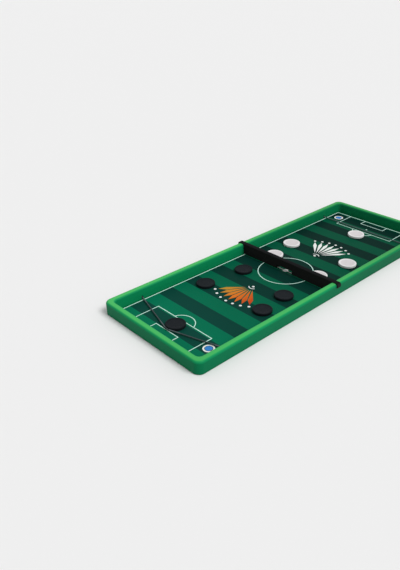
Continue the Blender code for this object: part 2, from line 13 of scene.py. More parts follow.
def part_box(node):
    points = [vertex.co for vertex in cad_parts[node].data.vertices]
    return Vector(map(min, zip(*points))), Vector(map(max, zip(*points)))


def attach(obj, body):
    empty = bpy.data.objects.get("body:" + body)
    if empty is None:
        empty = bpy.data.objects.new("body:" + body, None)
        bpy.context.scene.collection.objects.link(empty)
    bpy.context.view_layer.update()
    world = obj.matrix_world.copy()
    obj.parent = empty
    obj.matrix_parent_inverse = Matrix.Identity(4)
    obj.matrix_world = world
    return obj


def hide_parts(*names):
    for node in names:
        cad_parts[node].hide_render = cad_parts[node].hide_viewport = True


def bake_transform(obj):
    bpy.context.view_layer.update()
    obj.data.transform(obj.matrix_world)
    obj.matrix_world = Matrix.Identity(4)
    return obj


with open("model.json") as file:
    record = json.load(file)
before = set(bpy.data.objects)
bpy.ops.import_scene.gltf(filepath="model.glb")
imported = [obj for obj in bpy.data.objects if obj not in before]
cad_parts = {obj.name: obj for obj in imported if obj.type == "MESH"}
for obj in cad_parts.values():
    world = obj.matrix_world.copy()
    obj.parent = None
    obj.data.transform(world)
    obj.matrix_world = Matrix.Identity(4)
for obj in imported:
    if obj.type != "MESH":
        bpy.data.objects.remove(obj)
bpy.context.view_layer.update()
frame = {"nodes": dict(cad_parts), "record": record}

MM = 0.001
FULL_TURN = 2 * math.pi
HALF_TURN = math.pi
QUARTER_TURN = math.pi / 2

# Places read from the frame
RIM_LOW, RIM_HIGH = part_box("rim_frame")
SHEET_LOW, SHEET_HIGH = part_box("pitch_sheet")
BAR_LOW, BAR_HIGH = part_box("centre_divider")
FAR_CORD_LOW, FAR_CORD_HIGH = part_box("far_cord")
NEAR_CORD_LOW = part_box("near_cord")[0]
BEAD_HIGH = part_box("cord_stopper_far_right")[1]
HALF_WIDTH = RIM_HIGH.x
HALF_LENGTH = RIM_HIGH.y
RIM_TOP_Z = RIM_HIGH.z
PITCH_Z = SHEET_HIGH.z
SLING_Y = (FAR_CORD_LOW.y + FAR_CORD_HIGH.y) / 2
CORD_Z = (FAR_CORD_LOW.z + FAR_CORD_HIGH.z) / 2

# Sizes that the frame's boxes don't give
SEAT_GAP = 0.3 * MM
BOARD_CORNER_RADIUS = 16.0 * MM
OUTER_CORNER_RADIUS = 11.0 * MM
INNER_CORNER_RADIUS = 6.0 * MM
RAIL_TOP_WIDTH = 10.8 * MM
RAIL_FOOT_WIDTH = 12.6 * MM
RIM_WALL = 2.0 * MM
RIM_TOP_WALL = 2.2 * MM
RIM_INNER_WALL = 1.8 * MM
OUTER_EDGE_RADIUS = 3.6 * MM
INNER_EDGE_RADIUS = 3.6 * MM
FOOT_ROUND = 0.4 * MM
BOSS_RADIUS = 2.9 * MM
BORE_RADIUS = 1.3 * MM
BORE_DEPTH = 9.7 * MM
RIB_THICKNESS = 1.2 * MM
RIBS_PER_BOSS_GAP = 4
END_RIB_PITCH = 30.0 * MM
CORD_RADIUS = 0.9 * MM
NOTCH_RADIUS = 1.5 * MM
NOTCH_HEADROOM = 1.9 * MM
PUCK_RADIUS = 15.0 * MM
TOUCHLINE_X = 90.0 * MM
GOAL_LINE_Y = 269.7 * MM
RAIL_FOOT_Z = PITCH_Z + SEAT_GAP
CAVITY_TOP_Z = RIM_TOP_Z - RIM_TOP_WALL

# How far a cutter runs out of what it cuts, and a fused piece into what it joins
CUT_OVERRUN = 1.0 * MM
FUSE_DEPTH = 0.4 * MM

CORNER_SIGNS = ((1, 1), (-1, 1), (-1, -1), (1, -1))
RIM_CORNER_STEPS = 24
EDGE_STEPS = 8
POST_STEPS = 24
SHARP_ANGLE = math.radians(40)
MERGE_DISTANCE = 0.01 * MM


def mesh_object(name, shape):
    """An object of a bmesh, with its faces turned outward."""
    bmesh.ops.recalc_face_normals(shape, faces=shape.faces)
    mesh = bpy.data.meshes.new(name)
    shape.to_mesh(mesh)
    shape.free()
    thing = bpy.data.objects.new(name, mesh)
    bpy.context.scene.collection.objects.link(thing)
    return thing


def smooth(thing):
    thing.data.shade_smooth()
    thing.data.set_sharp_from_angle(angle=SHARP_ANGLE)


def finish_piece(thing, material, slot, *nodes):
    """Gives a piece its finish, and hides the frame's nodes that it stands for. The slot is not used."""
    thing.data.materials.clear()
    thing.data.materials.append(material)
    if nodes:
        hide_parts(*nodes)


def arc(centre, radius, start, end, steps):
    """Points on an arc, both ends included."""
    turn = (end - start) / steps
    return [
        (centre[0] + radius * math.cos(start + i * turn), centre[1] + radius * math.sin(start + i * turn))
        for i in range(steps + 1)
    ]


def rounded_rectangle(half_x, half_y, radius, steps):
    points = []
    for corner, (sign_x, sign_y) in enumerate(CORNER_SIGNS):
        centre = (sign_x * (half_x - radius), sign_y * (half_y - radius))
        points += arc(centre, radius, corner * QUARTER_TURN, (corner + 1) * QUARTER_TURN, steps)
    return points


def loft(rings, closed_rings=True, caps=False):
    """A bmesh skin through rings of points that have the same count."""
    shape = bmesh.new()
    rows = [[shape.verts.new(point) for point in ring] for ring in rings]
    pairs = list(zip(rows, rows[1:]))
    if closed_rings:
        pairs.append((rows[-1], rows[0]))
    for first, second in pairs:
        for i in range(len(first)):
            j = (i + 1) % len(first)
            shape.faces.new((first[i], first[j], second[j], second[i]))
    if caps:
        shape.faces.new(rows[0])
        shape.faces.new(list(reversed(rows[-1])))
    return shape


def prism(outline, thickness):
    """A bmesh plate of a flat outline, with its own plane through its middle."""
    shape = bmesh.new()
    lower = [shape.verts.new((x, y, -thickness / 2)) for x, y in outline]
    upper = [shape.verts.new((x, y, thickness / 2)) for x, y in outline]
    shape.faces.new(upper)
    shape.faces.new(list(reversed(lower)))
    for i in range(len(outline)):
        j = (i + 1) % len(outline)
        shape.faces.new((lower[i], lower[j], upper[j], upper[i]))
    return shape


def turned(name, profile, steps):
    """A lathe body of a profile of (radius, height) points, from axis to axis, top to bottom."""
    shape = bmesh.new()
    places = [shape.verts.new((radius, 0, height)) for radius, height in profile]
    edges = [shape.edges.new(pair) for pair in zip(places, places[1:])]
    bmesh.ops.spin(
        shape,
        geom=places + edges,
        cent=(0, 0, 0),
        axis=(0, 0, 1),
        angle=FULL_TURN,
        steps=steps,
        use_merge=True,
    )
    bmesh.ops.remove_doubles(shape, verts=shape.verts, dist=MERGE_DISTANCE)
    thing = mesh_object(name, shape)
    smooth(thing)
    return thing


def merge_shape(shape, extra):
    """Moves a bmesh into another."""
    mesh = bpy.data.meshes.new("extra")
    extra.to_mesh(mesh)
    extra.free()
    shape.from_mesh(mesh)
    bpy.data.meshes.remove(mesh)


def combine(target, tool, operation="DIFFERENCE"):
    """Cuts a tool out of a target for good, or fuses the two, and removes the tool."""
    modifier = target.modifiers.new("Combine", "BOOLEAN")
    modifier.operation = operation
    modifier.solver = "EXACT"
    modifier.object = tool
    apply_modifiers(target)
    bpy.data.objects.remove(tool)


def apply_modifiers(thing):
    bpy.context.view_layer.update()
    graph = bpy.context.evaluated_depsgraph_get()
    made = bpy.data.meshes.new_from_object(thing.evaluated_get(graph))
    thing.modifiers.clear()
    thing.data = made


# Materials

# The range that a noise mostly keeps to, and the most that it stains a colour
NOISE_RANGE = (0.3, 0.7)
STAIN_SHARE = 0.12


class Finish:
    """A material with its node tree's usual parts at hand."""

    def __init__(self, name, roughness, metallic=0.0, specular=0.5):
        self.material = bpy.data.materials.new(name)
        self.material.use_nodes = True
        self.nodes = self.material.node_tree.nodes
        self.links = self.material.node_tree.links
        self.shader = self.nodes["Principled BSDF"]
        self.shader.inputs["Roughness"].default_value = roughness
        self.shader.inputs["Metallic"].default_value = metallic
        self.shader.inputs["Specular IOR Level"].default_value = specular
        self.place = self.nodes.new("ShaderNodeTexCoord").outputs["Object"]

    def split(self, vector, axis):
        node = self.nodes.new("ShaderNodeSeparateXYZ")
        self.links.new(vector, node.inputs["Vector"])
        return node.outputs[axis]

    def tilt(self):
        """The height of the surface's normal, 1 where it faces up."""
        return self.split(self.nodes.new("ShaderNodeNewGeometry").outputs["Normal"], "Z")

    def scaled_place(self, scale):
        mapping = self.nodes.new("ShaderNodeMapping")
        mapping.inputs["Scale"].default_value = scale
        self.links.new(self.place, mapping.inputs["Vector"])
        return mapping.outputs["Vector"]

    def noise(self, scale, detail=2.0, place=None):
        """A noise with about as many grains to the metre as its scale."""
        node = self.nodes.new("ShaderNodeTexNoise")
        node.inputs["Scale"].default_value = scale
        node.inputs["Detail"].default_value = detail
        self.links.new(place or self.place, node.inputs["Vector"])
        return node.outputs["Fac"]

    def ramp(self, value, stops):
        """A colour ramp of (position, colour) stops."""
        node = self.nodes.new("ShaderNodeValToRGB")
        elements = node.color_ramp.elements
        while len(elements) < len(stops):
            elements.new(1.0)
        for element, (position, colour) in zip(elements, stops):
            element.position = position
            element.color = (*colour, 1.0)
        self.links.new(value, node.inputs["Fac"])
        return node.outputs["Color"]

    def mix(self, share, first, second):
        """A mix of two colours, each a tuple or a socket, by a share that is a socket."""
        node = self.nodes.new("ShaderNodeMix")
        node.data_type = "RGBA"
        for name, value in (("Factor", share), ("A", first), ("B", second)):
            socket = next(s for s in node.inputs if s.name == name and s.enabled)
            if isinstance(value, tuple):
                socket.default_value = (*value, 1.0)
            else:
                self.links.new(value, socket)
        return next(s for s in node.outputs if s.enabled)

    def calculate(self, operation, *values):
        """The result of an operation on numbers and sockets."""
        node = self.nodes.new("ShaderNodeMath")
        node.operation = operation
        for socket, value in zip(node.inputs, values):
            if isinstance(value, float):
                socket.default_value = value
            else:
                self.links.new(value, socket)
        return node.outputs["Value"]

    def remap(self, value, low, high, new_low=0.0, new_high=1.0):
        node = self.nodes.new("ShaderNodeMapRange")
        limits = {"From Min": low, "From Max": high, "To Min": new_low, "To Max": new_high}
        for name, number in limits.items():
            node.inputs[name].default_value = number
        self.links.new(value, node.inputs["Value"])
        return node.outputs["Result"]

    def stain(self, noise, tone, dirt):
        """A tone, lightly stained with another colour where a noise is high."""
        return self.mix(self.remap(noise, *NOISE_RANGE, 0.0, STAIN_SHARE), tone, dirt)

    def colour(self, socket):
        self.links.new(socket, self.shader.inputs["Base Color"])

    def roughness(self, noise, low, high):
        self.links.new(self.remap(noise, *NOISE_RANGE, low, high), self.shader.inputs["Roughness"])

    def bump(self, value, depth):
        node = self.nodes.new("ShaderNodeBump")
        node.inputs["Strength"].default_value = 1.0
        node.inputs["Distance"].default_value = depth
        self.links.new(value, node.inputs["Height"])
        self.links.new(node.outputs["Normal"], self.shader.inputs["Normal"])


def shades(colour, spread):
    """A darker and a lighter shade of a colour."""
    return tuple(c * (1 - spread) for c in colour), tuple(c * (1 + spread) for c in colour)


# Moulded plastic

BLACK = (0.0, 0.0, 0.0)
# The rim is one green plastic; its greens below are painted light and shade: a lit top and edge, and
# shaded walls and foot
RIM_LIT_TOP_GREEN = (0.068, 0.485, 0.126)
RIM_LIT_EDGE_GREEN = (0.014, 0.32, 0.103)
RIM_SHADED_INNER_GREEN = (0.0035, 0.232, 0.086)
RIM_SHADED_SIDE_GREEN = (0.001, 0.172, 0.067)
RIM_SHADED_FOOT_GREEN = (0.001, 0.152, 0.063)
RIM_SHADE_GREEN = (0.001, 0.06, 0.02)
BAR_BLACK = (0.0180, 0.0182, 0.0180)
# Darker than the bar's own black: painted shade that keeps its lit top as dark as its sides
BAR_SHADED_TOP_BLACK = (0.0095, 0.0100, 0.0108)

# The height of the normal at which each of the rim's greens shows, from its foot to its top: painted light
# and shade, lighter where the rim faces up and darker down its walls and at its foot
RIM_LIGHT_TILTS = (0.0, 0.07, 0.13, 0.45, 0.85, 1.0)

# Where along the rim a painted shade darkens it towards the far end, and by how much in the end
RIM_FAR_SHADE_Y = (-30.0 * MM, 150.0 * MM)
RIM_FAR_SHADE_SHARE = 0.24

# The heights of the normal between which a moulding's side colour turns into its darker top colour, a
# painted shade on the lit top
SHADED_TOP_TILTS = (0.5, 0.9)

# How far a satin moulding's roughness drifts
SATIN_DRIFT = 0.06


def rim_plastic():
    """Painted light and shade on one green plastic: bright lime where it faces up, deeper green round the
    edges and down the sides, and painted shade towards the far end.
    """
    finish = Finish("rim plastic", roughness=0.42, specular=0.05)
    lit_and_shaded_greens = (
        RIM_SHADED_FOOT_GREEN,
        RIM_SHADED_SIDE_GREEN,
        RIM_SHADED_INNER_GREEN,
        RIM_SHADED_INNER_GREEN,
        RIM_LIT_EDGE_GREEN,
        RIM_LIT_TOP_GREEN,
    )
    tone = finish.ramp(finish.tilt(), tuple(zip(RIM_LIGHT_TILTS, lit_and_shaded_greens)))
    tone = finish.stain(finish.noise(scale=9.0), tone, RIM_SHADE_GREEN)
    # Painted shade: the rim darkens towards the far end
    along = finish.split(finish.place, "Y")
    far_shade = finish.remap(along, *RIM_FAR_SHADE_Y, 0.0, RIM_FAR_SHADE_SHARE)
    finish.colour(finish.mix(far_shade, tone, BLACK))
    fine = finish.noise(scale=1200.0, detail=3.0)
    finish.roughness(fine, low=0.36, high=0.48)
    finish.bump(fine, depth=0.02 * MM)
    return finish.material


def satin_plastic(name, colour, spread, roughness, grain, specular, shaded_top_colour=None):
    """Satin moulding: a fine grain, a colour that drifts along the piece, and if asked a darker top,
    painted shade.
    """
    finish = Finish(name, roughness, specular=specular)
    drift = finish.noise(scale=18.0)
    tone = finish.mix(drift, *shades(colour, spread))
    if shaded_top_colour:
        shaded_top_tone = finish.mix(drift, *shades(shaded_top_colour, spread))
        tone = finish.mix(finish.remap(finish.tilt(), *SHADED_TOP_TILTS), tone, shaded_top_tone)
    finish.colour(tone)
    fine = finish.noise(scale=1400.0, detail=3.0)
    finish.roughness(fine, roughness - SATIN_DRIFT, roughness + SATIN_DRIFT)
    finish.bump(fine, depth=grain)
    return finish.material


def bar_plastic():
    return satin_plastic(
        "divider plastic",
        BAR_BLACK,
        spread=0.15,
        roughness=0.46,
        grain=0.03 * MM,
        specular=0.005,
        shaded_top_colour=BAR_SHADED_TOP_BLACK,
    )


def bead_plastic():
    return satin_plastic(
        "stopper plastic",
        BAR_BLACK,
        spread=0.06,
        roughness=0.5,
        grain=0.02 * MM,
        specular=0.5,
    )


# Pucks' plastic

PUCK_BLACK = (0.0075, 0.0095, 0.0120)
PUCK_BLACK_CENTRE = (0.0085, 0.0110, 0.0140)
PUCK_WHITE = (0.80, 0.785, 0.79)
PUCK_WHITE_CENTRE = (0.66, 0.625, 0.635)

# Where the centre's colour ends and the ring's begins
PUCK_CENTRE_END = (0.72 * PUCK_RADIUS, 0.86 * PUCK_RADIUS)

# The turning marks, in radians per metre, and their depth as a share of the scuffs'
TURNING_RATE = 9000.0
TURNING_SHARE = 0.25

# How far the scuffs change a puck's roughness
SCUFF_DRIFT = 0.08


def puck_plastic(name, colour, centre_colour, roughness):
    """Turned look: a slightly different centre, faint rings and scuffs."""
    finish = Finish(name, roughness, specular=0.045)
    offsets = [finish.split(finish.place, axis) for axis in ("X", "Y")]
    squares = [finish.calculate("MULTIPLY", offset, offset) for offset in offsets]
    distance = finish.calculate("SQRT", finish.calculate("ADD", *squares))
    centre = finish.remap(distance, *PUCK_CENTRE_END, 1.0, 0.0)
    scuff = finish.noise(scale=260.0, detail=6.0)
    outer_tone = finish.mix(scuff, *shades(colour, spread=0.08))
    centre_tone = finish.mix(scuff, *shades(centre_colour, spread=0.08))
    finish.colour(finish.mix(centre, outer_tone, centre_tone))
    finish.roughness(scuff, roughness - SCUFF_DRIFT, roughness + SCUFF_DRIFT)
    rings = finish.calculate("SINE", finish.calculate("MULTIPLY", distance, TURNING_RATE))
    relief = finish.calculate("ADD", finish.calculate("MULTIPLY", rings, TURNING_SHARE), scuff)
    finish.bump(relief, depth=0.03 * MM)
    return finish.material


# Cord, board, pads and screws

CORD_GREY = (0.062, 0.080, 0.088)
BRAID_LEAN = math.radians(38)
BRAID_SCALE = 520.0
BOARD_BROWN = (0.22, 0.16, 0.105)
BOARD_SPECK_BROWN = (0.05, 0.03, 0.02)
FIBRE_STRETCH = (1.0, 6.0, 1.0)
SPECK_RANGE = (0.55, 0.75)
SPECK_SHARE = 0.5
PAD_GREY = (0.03, 0.03, 0.03)
STEEL = (0.55, 0.55, 0.56)


def braided_cord():
    """Elastic cord: a diagonal braid laid by the tube's own UV, dark grey with lighter flecks."""
    finish = Finish("elastic cord", roughness=0.75, specular=0.3)
    uv = finish.nodes.new("ShaderNodeTexCoord").outputs["UV"]
    waves = []
    for lean in (BRAID_LEAN, -BRAID_LEAN):
        mapping = finish.nodes.new("ShaderNodeMapping")
        mapping.inputs["Rotation"].default_value = (0, 0, lean)
        finish.links.new(uv, mapping.inputs["Vector"])
        wave = finish.nodes.new("ShaderNodeTexWave")
        wave.inputs["Scale"].default_value = BRAID_SCALE
        finish.links.new(mapping.outputs["Vector"], wave.inputs["Vector"])
        waves.append(wave.outputs["Fac"])
    braid = finish.calculate("MAXIMUM", *waves)
    finish.colour(finish.mix(braid, *shades(CORD_GREY, spread=0.45)))
    finish.bump(braid, depth=0.12 * MM)
    return finish.material


def hardboard():
    """Pressed fibre board: short fibres across a brown ground, and darker specks."""
    finish = Finish("board", roughness=0.75, specular=0.2)
    fibres = finish.noise(scale=90.0, detail=8.0, place=finish.scaled_place(FIBRE_STRETCH))
    specks = finish.noise(scale=1100.0)
    ground = finish.mix(fibres, *shades(BOARD_BROWN, spread=0.25))
    share = finish.remap(specks, *SPECK_RANGE, 0.0, SPECK_SHARE)
    finish.colour(finish.mix(share, ground, BOARD_SPECK_BROWN))
    finish.bump(specks, depth=0.04 * MM)
    return finish.material


def rubber():
    finish = Finish("foot pad rubber", roughness=0.85, specular=0.3)
    pores = finish.noise(scale=2400.0)
    finish.colour(finish.mix(pores, *shades(PAD_GREY, spread=0.3)))
    finish.bump(pores, depth=0.05 * MM)
    return finish.material


def plated_steel():
    finish = Finish("screw steel", roughness=0.32, metallic=1.0)
    grain = finish.noise(scale=3000.0, detail=3.0)
    finish.colour(finish.mix(grain, *shades(STEEL, spread=0.12)))
    finish.roughness(grain, low=0.26, high=0.40)
    return finish.material


# Printed film

PLAIN_GREEN = (0.001, 0.150, 0.055)
LIGHT_STRIPE = (0.002, 0.160, 0.080)
DARK_STRIPE = (0.004, 0.058, 0.042)
FILM_SHADE = (0.0, 0.01, 0.008)
LINE_WHITE = (0.62, 0.90, 0.80)
INK_WHITE = (0.86, 0.88, 0.86)
INK_BLUE = (0.045, 0.23, 0.62)
INK_AMBER = (0.42, 0.30, 0.04)
INK_ORANGE = (0.72, 0.18, 0.02)
INK_RED = (0.50, 0.03, 0.012)
FAN_SHADE = (0.05, 0.02, 0.005)

# Where each ink of the coloured fan is pure, from 0 at its left edge to 1 at its right
FAN_STOPS = ((0.15, INK_AMBER), (0.5, INK_ORANGE), (0.85, INK_RED))

# Where along the pitch a painted shade deepens an ink towards the far end, and how much of that comes
# early
INK_FAR_SHADE_Y = (-0.8 * GOAL_LINE_Y, 0.5 * GOAL_LINE_Y)
INK_FAR_SHADE_POWER = 1.6


class Film(Finish):
    """Ink under a satin film, with a faint mottle."""

    def __init__(self, name):
        super().__init__(name, roughness=0.42, specular=0.012)
        self.mottle = self.noise(scale=420.0, detail=4.0)
        self.roughness(self.mottle, low=0.38, high=0.48)


def printed_film(name, colour, far_shade_share=1.0):
    """One ink with slight waves, and a painted shade that deepens it to a share of its colour towards the
    far end.
    """
    film = Film(name)
    far_shaded_colour = tuple(far_shade_share * c for c in colour)
    near_tone = film.mix(film.mottle, *shades(colour, spread=0.05))
    far_shaded_tone = film.mix(film.mottle, *shades(far_shaded_colour, spread=0.05))
    along = film.remap(film.split(film.place, "Y"), *INK_FAR_SHADE_Y)
    left = film.calculate("POWER", film.calculate("SUBTRACT", 1.0, along), INK_FAR_SHADE_POWER)
    tone = film.mix(film.calculate("SUBTRACT", 1.0, left), near_tone, far_shaded_tone)
    waves = film.noise(scale=7.0)
    film.colour(film.stain(waves, tone, FILM_SHADE))
    film.bump(waves, depth=0.15 * MM)
    return film.material


def fan_ink(reach):
    """Amber on the left, through orange, to red on the right."""
    film = Film("fan ink")
    across = film.remap(film.split(film.place, "X"), -reach, reach)
    film.colour(film.stain(film.mottle, film.ramp(across, FAN_STOPS), FAN_SHADE))
    return film.material


# Rim


def inner_face_inset(z):
    share = (z - RAIL_FOOT_Z) / (RIM_TOP_Z - RAIL_FOOT_Z)
    return RAIL_FOOT_WIDTH + share * (RAIL_TOP_WIDTH - RAIL_FOOT_WIDTH)


def hidden_face_inset(z):
    return inner_face_inset(z) - RIM_INNER_WALL


def corner_radius(inset):
    share = inset / RAIL_FOOT_WIDTH
    return OUTER_CORNER_RADIUS + share * (INNER_CORNER_RADIUS - OUTER_CORNER_RADIUS)


def rail_top_profile(offset):
    """The rail's top from inner to outer face, as (inset, z), pushed out by an offset."""
    slope = math.atan2(RAIL_FOOT_WIDTH - RAIL_TOP_WIDTH, RIM_TOP_Z - RAIL_FOOT_Z)
    inner_z = RIM_TOP_Z - INNER_EDGE_RADIUS
    inner_centre = (inner_face_inset(inner_z) - INNER_EDGE_RADIUS / math.cos(slope), inner_z)
    outer_centre = (OUTER_EDGE_RADIUS, RIM_TOP_Z - OUTER_EDGE_RADIUS)
    inner = arc(inner_centre, INNER_EDGE_RADIUS + offset, slope, QUARTER_TURN, EDGE_STEPS)
    outer = arc(outer_centre, OUTER_EDGE_RADIUS + offset, QUARTER_TURN, HALF_TURN, EDGE_STEPS)
    return inner + outer


def rail_section():
    """The rail's section as (inset, z, corner radius).

    The outer wall's inside is fitted round the board's corners, and the rest has the corners that show.
    """
    low = RIM_LOW.z
    shown = [
        (RAIL_FOOT_WIDTH, RAIL_FOOT_Z),
        *rail_top_profile(0.0),
        (0.0, low + FOOT_ROUND),
        (FOOT_ROUND, low),
    ]
    hidden = [
        (hidden_face_inset(CAVITY_TOP_Z), CAVITY_TOP_Z),
        (hidden_face_inset(RAIL_FOOT_Z), RAIL_FOOT_Z),
    ]
    return [
        *((inset, z, corner_radius(inset)) for inset, z in shown),
        *((RIM_WALL, z, BOARD_CORNER_RADIUS - RIM_WALL) for z in (low, CAVITY_TOP_Z)),
        *((inset, z, corner_radius(inset)) for inset, z in hidden),
    ]


def corner_rays():
    """(corner's signs, outward direction) pairs round the rim, anticlockwise."""
    rays = []
    for corner, signs in enumerate(CORNER_SIGNS):
        turn = (corner * QUARTER_TURN, (corner + 1) * QUARTER_TURN)
        rays += [(signs, ray) for ray in arc((0, 0), 1.0, *turn, RIM_CORNER_STEPS)]
    return rays


def rim_point(signs, ray, inset, z, radius):
    """A point of the rail's section where it turns a corner."""
    x = signs[0] * (HALF_WIDTH - inset - radius) + ray[0] * radius
    y = signs[1] * (HALF_LENGTH - inset - radius) + ray[1] * radius
    return Vector((x, y, z))


def notch_cutter(side, end):
    """A plate through the inner wall, with a round top over the cord."""
    depth = RAIL_FOOT_WIDTH - hidden_face_inset(CAVITY_TOP_Z) + 2 * CUT_OVERRUN
    crown_z = CORD_Z + CORD_RADIUS + NOTCH_HEADROOM - NOTCH_RADIUS
    crown = arc((0.0, crown_z), NOTCH_RADIUS, 0.0, HALF_TURN, 2 * EDGE_STEPS)
    low = RAIL_FOOT_Z - CUT_OVERRUN
    shape = prism([(NOTCH_RADIUS, low), *crown, (-NOTCH_RADIUS, low)], depth)
    wall_x = side * (HALF_WIDTH - (RAIL_FOOT_WIDTH + hidden_face_inset(CAVITY_TOP_Z)) / 2)
    # Its outline runs along Y and up, and its thickness along X
    stand = Matrix(((0, 0, 1, wall_x), (1, 0, 0, end * SLING_Y), (0, 1, 0, 0), (0, 0, 0, 1)))
    bmesh.ops.transform(shape, matrix=stand, verts=shape.verts)
    return mesh_object("notch_cutter", shape)


def screw_places():
    """The screws' axes in plan."""
    for name in frame["nodes"]:
        if name.startswith("board_screw"):
            low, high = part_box(name)
            yield (low.x + high.x) / 2, (low.y + high.y) / 2


def add_post(shape, radius, x, y, low, high):
    place = Matrix.Translation((x, y, (low + high) / 2))
    ends = {"radius1": radius, "radius2": radius, "depth": high - low}
    bmesh.ops.create_cone(shape, cap_ends=True, segments=POST_STEPS, matrix=place, **ends)


def rib_outline():
    """A rib in (inset, z), reaching into the outer wall, the inner wall and the top."""
    low = RAIL_FOOT_Z + SEAT_GAP
    high = CAVITY_TOP_Z + FUSE_DEPTH
    outer = RIM_WALL - FUSE_DEPTH
    return [
        (outer, low),
        (hidden_face_inset(low) + FUSE_DEPTH, low),
        (hidden_face_inset(high) + FUSE_DEPTH, high),
        (outer, high),
    ]


def add_ribs(shape):
    """Cross ribs inside the rails, between the bosses and clear of the cords' ends."""
    boss_y = max(y for x, y in screw_places() if abs(x) > HALF_WIDTH / 2)
    pitch = boss_y / RIBS_PER_BOSS_GAP
    last = int((HALF_LENGTH - BOARD_CORNER_RADIUS) / pitch)
    rows = [i * pitch for i in range(-last, last + 1) if i % RIBS_PER_BOSS_GAP]
    rows = [y for y in rows if abs(abs(y) - SLING_Y) > BEAD_HIGH.y - SLING_Y + RIB_THICKNESS]
    ends_x = [i * END_RIB_PITCH for i in (-2, -1, 1, 2)]
    # The inset of a rib's outline runs along X from a side wall, and along Y from an end wall
    stands = [
        Matrix(((-side, 0, 0, side * HALF_WIDTH), (0, 0, side, y), (0, 1, 0, 0), (0, 0, 0, 1)))
        for side in (-1, 1)
        for y in rows
    ]
    stands += [
        Matrix(((0, 0, -end, x), (-end, 0, 0, end * HALF_LENGTH), (0, 1, 0, 0), (0, 0, 0, 1)))
        for end in (-1, 1)
        for x in ends_x
    ]
    for stand in stands:
        rib = prism(rib_outline(), RIB_THICKNESS)
        bmesh.ops.transform(rib, matrix=stand, verts=rib.verts)
        merge_shape(shape, rib)


def rim_inner_works():
    """Screw bosses and ribs, which the rim is fused with, and the bores cut after that."""
    works = bmesh.new()
    bores = bmesh.new()
    low = SHEET_LOW.z
    for x, y in screw_places():
        add_post(works, BOSS_RADIUS, x, y, low, CAVITY_TOP_Z + FUSE_DEPTH)
        add_post(bores, BORE_RADIUS, x, y, low - CUT_OVERRUN, low + BORE_DEPTH)
    add_ribs(works)
    return mesh_object("rim_inner_works", works), mesh_object("rim_bores", bores)


def make_rim():
    """The lofted rail, fused with its bosses and ribs, then bored and notched."""
    section = rail_section()
    rings = [[rim_point(signs, ray, *point) for point in section] for signs, ray in corner_rays()]
    rim = mesh_object("rim", loft(rings))
    works, bores = rim_inner_works()
    combine(rim, works, "UNION")
    combine(rim, bores)
    for side in (-1, 1):
        for end in (-1, 1):
            combine(rim, notch_cutter(side, end))
    smooth(rim)
    finish_piece(rim, rim_plastic(), "rim_plastic", "rim_frame")
    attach(rim, "frame")


# Pitch sheet

STRIPE_PITCH = 27.3 * MM
STRIPE_START = -7.4 * MM
CENTRE_STRIPE_EDGE_Y = -6.2 * MM
SHEET_CORNER_STEPS = 8
SHEET_TOP_TOLERANCE = 0.1 * MM


def stripe_edges():
    """Where the pitch changes colour along Y, with the edge at the divider moved to lie under it."""
    count = int(GOAL_LINE_Y / STRIPE_PITCH) + 1
    even = [STRIPE_START + k * STRIPE_PITCH for k in range(-count, count + 2) if k]
    inside = [y for y in even if abs(y) < GOAL_LINE_Y]
    return [*inside, -GOAL_LINE_Y, CENTRE_STRIPE_EDGE_Y, GOAL_LINE_Y]


def sheet_shape():
    """The flat sheet, its faces parted along the stripes and the touchlines."""
    inset = HALF_WIDTH - SHEET_HIGH.x
    radius = BOARD_CORNER_RADIUS - inset
    outline = rounded_rectangle(SHEET_HIGH.x, SHEET_HIGH.y, radius, SHEET_CORNER_STEPS)
    shape = prism(outline, SHEET_HIGH.z - SHEET_LOW.z)
    middle = Matrix.Translation((0, 0, (SHEET_HIGH.z + SHEET_LOW.z) / 2))
    bmesh.ops.transform(shape, matrix=middle, verts=shape.verts)
    planes = [((0, y, 0), (0, 1, 0)) for y in stripe_edges()]
    planes += [((x, 0, 0), (1, 0, 0)) for x in (-TOUCHLINE_X, TOUCHLINE_X)]
    for point, normal in planes:
        geometry = [*shape.verts, *shape.edges, *shape.faces]
        bmesh.ops.bisect_plane(shape, geom=geometry, plane_co=point, plane_no=normal)
    return shape


def make_pitch():
    """The sheet, striped inside the pitch's outer lines and plain green outside."""
    sheet = mesh_object("printed_pitch", sheet_shape())
    # The green inks take a painted shade towards the far end
    plain = printed_film("plain green ink", PLAIN_GREEN, far_shade_share=0.6)
    light = printed_film("light stripe ink", LIGHT_STRIPE, far_shade_share=0.48)
    dark = printed_film("dark stripe ink", DARK_STRIPE, far_shade_share=0.38)
    finish_piece(sheet, plain, "printed_sheet", "pitch_sheet")
    for material in (light, dark):
        sheet.data.materials.append(material)
    for face in sheet.data.polygons:
        x, y, z = face.center
        on_top = z > PITCH_Z - SHEET_TOP_TOLERANCE
        if on_top and abs(x) < TOUCHLINE_X and abs(y) < GOAL_LINE_Y:
            face.material_index = 1 + math.floor((y - STRIPE_START) / STRIPE_PITCH) % 2
    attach(sheet, "frame")


# Printed lines

